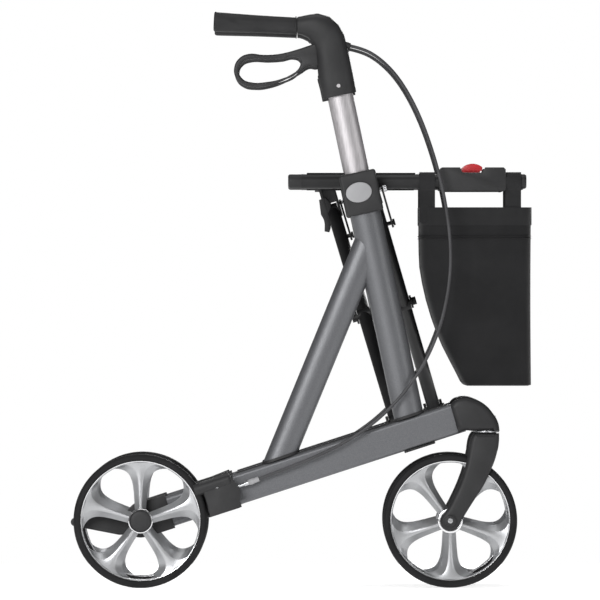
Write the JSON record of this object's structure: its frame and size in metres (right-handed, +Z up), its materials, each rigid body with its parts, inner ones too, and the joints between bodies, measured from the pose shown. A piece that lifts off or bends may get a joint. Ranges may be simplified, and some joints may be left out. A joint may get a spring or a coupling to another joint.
{
  "type": "rollator walker",
  "caption": "Folding four-wheeled rollator walker with swivel casters, height-adjustable handles, cable brakes, a sling seat and a shopping bag.",
  "frame": {"origin": "on the floor, under the middle of the walker's outer box", "axes": "+X forward in the walking direction, +Y to the user's left, +Z up"},
  "size_m": [0.6883, 0.642, 0.8603],
  "materials": {
    "frame_paint": "dark grey metallic satin",
    "silver_tube": "silver satin",
    "wheel_silver": "silver metallic",
    "tyre_rubber": "matte",
    "black_plastic": "moulded satin",
    "grip_rubber": "matte",
    "black_metal": "black powder coat",
    "steel": "bright",
    "seat_fabric": "woven",
    "bag_fabric": "woven",
    "red_plastic": "gloss red",
    "pale_plastic": "satin silver grey",
    "cable_jacket": "dark grey satin"
  },
  "bodies": {
    "frame_left": {"beam_left": "frame_paint", "upright_left": "frame_paint", "strut_left": "frame_paint", "frame_seals_left": "black_plastic", "height_collar_left": "black_plastic", "caster_housing_left": "black_plastic", "rear_axle_housing_left": "black_plastic", "brake_housing_left": "black_plastic", "frame_hardware_left": "steel", "brace_bracket_left": "black_metal", "brake_cable_left": "cable_jacket"},
    "frame_right": {"beam_right": "frame_paint", "upright_right": "frame_paint", "strut_right": "frame_paint", "frame_seals_right": "black_plastic", "height_collar_right": "black_plastic", "caster_housing_right": "black_plastic", "rear_axle_housing_right": "black_plastic", "brake_housing_right": "black_plastic", "frame_hardware_right": "steel", "brace_bracket_right": "black_metal", "brake_cable_right": "cable_jacket"},
    "front_leg": {"brace_leg_front": "black_metal", "brace_pivot": "black_metal"},
    "rear_leg": {"brace_leg_rear": "black_metal"},
    "seat_right": {"seat_tube_right": "black_metal", "seat_fittings_right": "black_plastic", "seat_sling": "seat_fabric", "shopping_bag": "bag_fabric"},
    "seat_left": {"seat_tube_left": "black_metal", "seat_fittings_left": "black_plastic"},
    "stay_left": {"stay_left": "black_metal"},
    "handle_left": {"handle_tube_left": "silver_tube", "handle_housing_left": "black_plastic", "grip_left": "grip_rubber"},
    "lever_left": {"brake_lever_left": "black_plastic"},
    "shoe_left": {"brake_shoe_left": "black_plastic"},
    "rear_wheel_left": {"rear_rim_left": "wheel_silver", "rear_tyre_left": "tyre_rubber"},
    "caster_left": {"caster_fork_left": "black_metal", "front_axle_left": "steel"},
    "front_wheel_left": {"front_rim_left": "wheel_silver", "front_tyre_left": "tyre_rubber"},
    "height_button_left": {"height_button_left": "pale_plastic"},
    "lock_button_left": {"lock_button_left": "red_plastic"},
    "stay_right": {"stay_right": "black_metal"},
    "handle_right": {"handle_tube_right": "silver_tube", "handle_housing_right": "black_plastic", "grip_right": "grip_rubber"},
    "lever_right": {"brake_lever_right": "black_plastic"},
    "shoe_right": {"brake_shoe_right": "black_plastic"},
    "rear_wheel_right": {"rear_rim_right": "wheel_silver", "rear_tyre_right": "tyre_rubber"},
    "caster_right": {"caster_fork_right": "black_metal", "front_axle_right": "steel"},
    "front_wheel_right": {"front_rim_right": "wheel_silver", "front_tyre_right": "tyre_rubber"},
    "height_button_right": {"height_button_right": "pale_plastic"},
    "lock_button_right": {"lock_button_right": "red_plastic"}
  },
  "joints": [
    {"name": "fold", "type": "hinge", "parent": "frame_left", "child": "front_leg", "pos_m": [0.2004, 0.23, 0.266], "axis": [-0.9588, 0, -0.284], "range_deg": [0, 44.5], "deforming": ["seat_sling", "shopping_bag"]},
    {"name": "legs_cross", "type": "hinge", "parent": "front_leg", "child": "rear_leg", "pos_m": [0.15366, 0, 0.42379], "axis": [-0.9588, 0, -0.284], "range_deg": [-89, 0]},
    {"name": "frame_right_turn", "type": "hinge", "parent": "rear_leg", "child": "frame_right", "pos_m": [0.14153, -0.23, 0.24856], "axis": [-0.9588, 0, -0.284], "range_deg": [0, 44.5]},
    {"name": "seat_right_turn", "type": "hinge", "parent": "front_leg", "child": "seat_right", "pos_m": [0.10692, -0.23, 0.58157], "axis": [-0.9588, 0, -0.284], "range_deg": [-44.5, 0]},
    {"name": "seat_left_turn", "type": "hinge", "parent": "rear_leg", "child": "seat_left", "pos_m": [0.04805, 0.23, 0.56413], "axis": [-0.9588, 0, -0.284], "range_deg": [0, 44.5]},
    {"name": "stay_left_turn", "type": "hinge", "parent": "frame_left", "child": "stay_left", "pos_m": [0.05777, 0.252, 0.5764], "axis": [-0.9588, 0, -0.284], "range_deg": [0, 49.84]},
    {"name": "stay_right_turn", "type": "hinge", "parent": "frame_right", "child": "stay_right", "pos_m": [0.11904, -0.252, 0.59454], "axis": [-0.9588, 0, -0.284], "range_deg": [-49.84, 0]},
    {"name": "height_left", "type": "slide", "parent": "frame_left", "child": "handle_left", "axis": [-0.2079, 0, 0.9781], "range_m": [-0.075, 0.105], "deforming": ["brake_cable_left"]},
    {"name": "brake_lever_left_turn", "type": "hinge", "parent": "handle_left", "child": "lever_left", "pos_m": [0.037, 0.262, 0.8], "axis": [0, 1, 0], "range_deg": [0, 12], "stiffness_Nm_per_rad": 1.2},
    {"name": "brake_shoe_left_turn", "type": "hinge", "parent": "frame_left", "child": "shoe_left", "pos_m": [-0.1264, 0.3, 0.15163], "axis": [0, 1, 0], "range_deg": [0, 3.4]},
    {"name": "rear_wheel_left_spin", "type": "hinge", "parent": "frame_left", "child": "rear_wheel_left", "pos_m": [-0.24, 0.3, 0.1], "axis": [0, 1, 0], "continuous": true},
    {"name": "caster_left_swivel", "type": "hinge", "parent": "frame_left", "child": "caster_left", "pos_m": [0.2757, 0.262, 0.2337], "axis": [0, 0, 1], "continuous": true},
    {"name": "front_wheel_left_spin", "type": "hinge", "parent": "caster_left", "child": "front_wheel_left", "pos_m": [0.222, 0.262, 0.1], "axis": [0, 1, 0], "continuous": true},
    {"name": "height_button_left_press", "type": "slide", "parent": "frame_left", "child": "height_button_left", "axis": [0, -1, 0], "range_m": [0, 0.003], "stiffness_N_per_m": 400},
    {"name": "lock_button_left_press", "type": "slide", "parent": "seat_left", "child": "lock_button_left", "axis": [0, 0, -1], "range_m": [0, 0.004], "stiffness_N_per_m": 400},
    {"name": "height_right", "type": "slide", "parent": "frame_right", "child": "handle_right", "axis": [-0.2079, 0, 0.9781], "range_m": [-0.075, 0.105], "deforming": ["brake_cable_right"]},
    {"name": "brake_lever_right_turn", "type": "hinge", "parent": "handle_right", "child": "lever_right", "pos_m": [0.037, -0.262, 0.8], "axis": [0, 1, 0], "range_deg": [0, 12], "stiffness_Nm_per_rad": 1.2},
    {"name": "brake_shoe_right_turn", "type": "hinge", "parent": "frame_right", "child": "shoe_right", "pos_m": [-0.1264, -0.3, 0.15163], "axis": [0, 1, 0], "range_deg": [0, 3.4]},
    {"name": "rear_wheel_right_spin", "type": "hinge", "parent": "frame_right", "child": "rear_wheel_right", "pos_m": [-0.24, -0.3, 0.1], "axis": [0, 1, 0], "continuous": true},
    {"name": "caster_right_swivel", "type": "hinge", "parent": "frame_right", "child": "caster_right", "pos_m": [0.2757, -0.262, 0.2337], "axis": [0, 0, 1], "continuous": true},
    {"name": "front_wheel_right_spin", "type": "hinge", "parent": "caster_right", "child": "front_wheel_right", "pos_m": [0.222, -0.262, 0.1], "axis": [0, 1, 0], "continuous": true},
    {"name": "height_button_right_press", "type": "slide", "parent": "frame_right", "child": "height_button_right", "axis": [0, 1, 0], "range_m": [0, 0.003], "stiffness_N_per_m": 400},
    {"name": "lock_button_right_press", "type": "slide", "parent": "seat_right", "child": "lock_button_right", "axis": [0, 0, -1], "range_m": [0, 0.004], "stiffness_N_per_m": 400}
  ],
  "couplings": [
    {"joint": "legs_cross", "follows": "fold", "ratio": -2},
    {"joint": "frame_right_turn", "follows": "fold", "ratio": 1},
    {"joint": "seat_right_turn", "follows": "fold", "ratio": -1},
    {"joint": "seat_left_turn", "follows": "fold", "ratio": 1},
    {"joint": "stay_left_turn", "follows": "fold", "ratio": 1.12},
    {"joint": "stay_right_turn", "follows": "fold", "ratio": -1.12},
    {"joint": "brake_shoe_left_turn", "follows": "brake_lever_left_turn", "ratio": 0.28333},
    {"joint": "brake_shoe_right_turn", "follows": "brake_lever_right_turn", "ratio": 0.28333}
  ]
}
